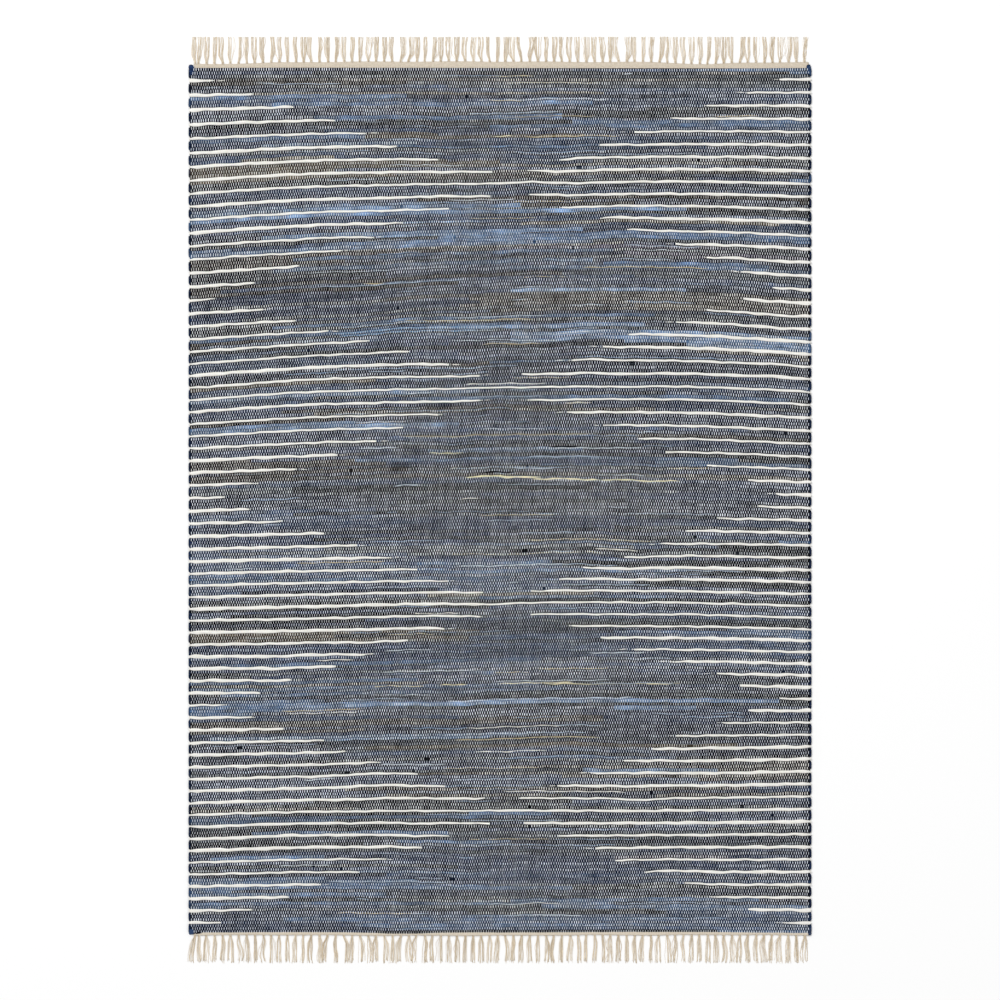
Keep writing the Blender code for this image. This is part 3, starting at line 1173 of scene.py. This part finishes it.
def fringeKnots(end):
    plan = headings[end]
    template = lumpOf(6, 8)
    shape = pointsOf(template)
    groups = groupPlan(plan["seed"], plan["extra"])
    mesh = copiesOf(template, len(groups))
    chance = np.random.default_rng(plan["seed"])
    placed = []
    for middle, _, _ in groups:
        root = float(headingEdge(plan, middle)[0])
        size = np.array(fringe["knot"]) * chance.uniform(0.8, 1.2)
        swell = shape * (1 + 0.08 * chance.normal(size=(len(shape), 1))) * size
        swell = swell + (middle, root + (plan["tip"] - root) * fringe["knotAt"], 0.0024)
        swell[:, 2] = np.maximum(swell[:, 2], 0.0002)
        placed.append(swell)
    movePoints(mesh, np.concatenate(placed))
    mesh.uv_layers.new(name="yarn")
    # the knots get a high value, which paints them darker: painted shade at each group's knot
    paintCorners(mesh, "toneAndShade", 0.9 + 0.5 * chance.random(len(groups)))
    mapFromAbove(mesh, pointsOf(mesh).min(axis=0), pointsOf(mesh).max(axis=0))
    return addPiece("fringeKnots" + end.capitalize(), mesh, fringeCotton, plan["node"])


headingCotton = cottonMaterial("headingCotton", linear(219, 208, 192), linear(176, 163, 141), 1.0, 0.00010)
fringeCotton = cottonMaterial("fringeCotton", linear(253, 243, 226), linear(198, 177, 143), 22.0, 0.00025)

cloth = ragCloth()
onCloth = [warpFloats("warpFloats" + where, *picks) for where, picks in floats["bands"].items()]
onCloth += [whitePicks(), foldedEdges(), ragEnds()]
for end in headings:
    band = headingBand(end)
    fringeYarns(end)
    fringeKnots(end)


# Floor, light and camera

studio = {
    "floor": (0.93, 0.93, 0.93),
    "world": 0.46,
    "key": 800,
    "fill": 330,
    "lens": 100,
    "metresAcross": 2.446,  # what the picture's width shows at the rug
}


def floorPlane():
    bm = bmesh.new()
    bmesh.ops.create_grid(bm, x_segments=8, y_segments=8, size=12)
    mesh = meshOf(bm, "studioFloor")
    floor = bpy.data.objects.new("studioFloor", mesh)
    bpy.context.scene.collection.objects.link(floor)
    material, _, shader = startMaterial("paleFloor", 0.8)
    shader.inputs["Base Color"].default_value = (*studio["floor"], 1)
    mesh.materials.append(material)


def areaLight(name, place, size, power):
    light = bpy.data.lights.new(name, "AREA")
    light.shape = "SQUARE"
    light.size = size
    light.energy = power
    lamp = bpy.data.objects.new(name, light)
    lamp.location = place
    aim = -lamp.location
    lamp.rotation_euler = aim.to_track_quat("-Z", "Y").to_euler()
    bpy.context.scene.collection.objects.link(lamp)


def studioScene():
    floorPlane()
    areaLight("keyLight", (-4.0, 4.8, 9.6), 5.0, studio["key"])
    areaLight("fillLight", (6.0, -5.0, 9.0), 6.0, studio["fill"])
    world = bpy.data.worlds.new("studio")
    world.use_nodes = True
    world.node_tree.nodes["Background"].inputs["Color"].default_value = (1, 1, 1, 1)
    world.node_tree.nodes["Background"].inputs["Strength"].default_value = studio["world"]
    bpy.context.scene.world = world
    data = bpy.data.cameras.new("camera")
    data.lens = studio["lens"]
    camera = bpy.data.objects.new("camera", data)
    camera.location = (0, 0, studio["metresAcross"] * data.lens / data.sensor_width + weave["crest"])
    bpy.context.scene.collection.objects.link(camera)
    bpy.context.scene.camera = camera
    bpy.context.scene.view_settings.view_transform = "Standard"


studioScene()
print("studio ready")
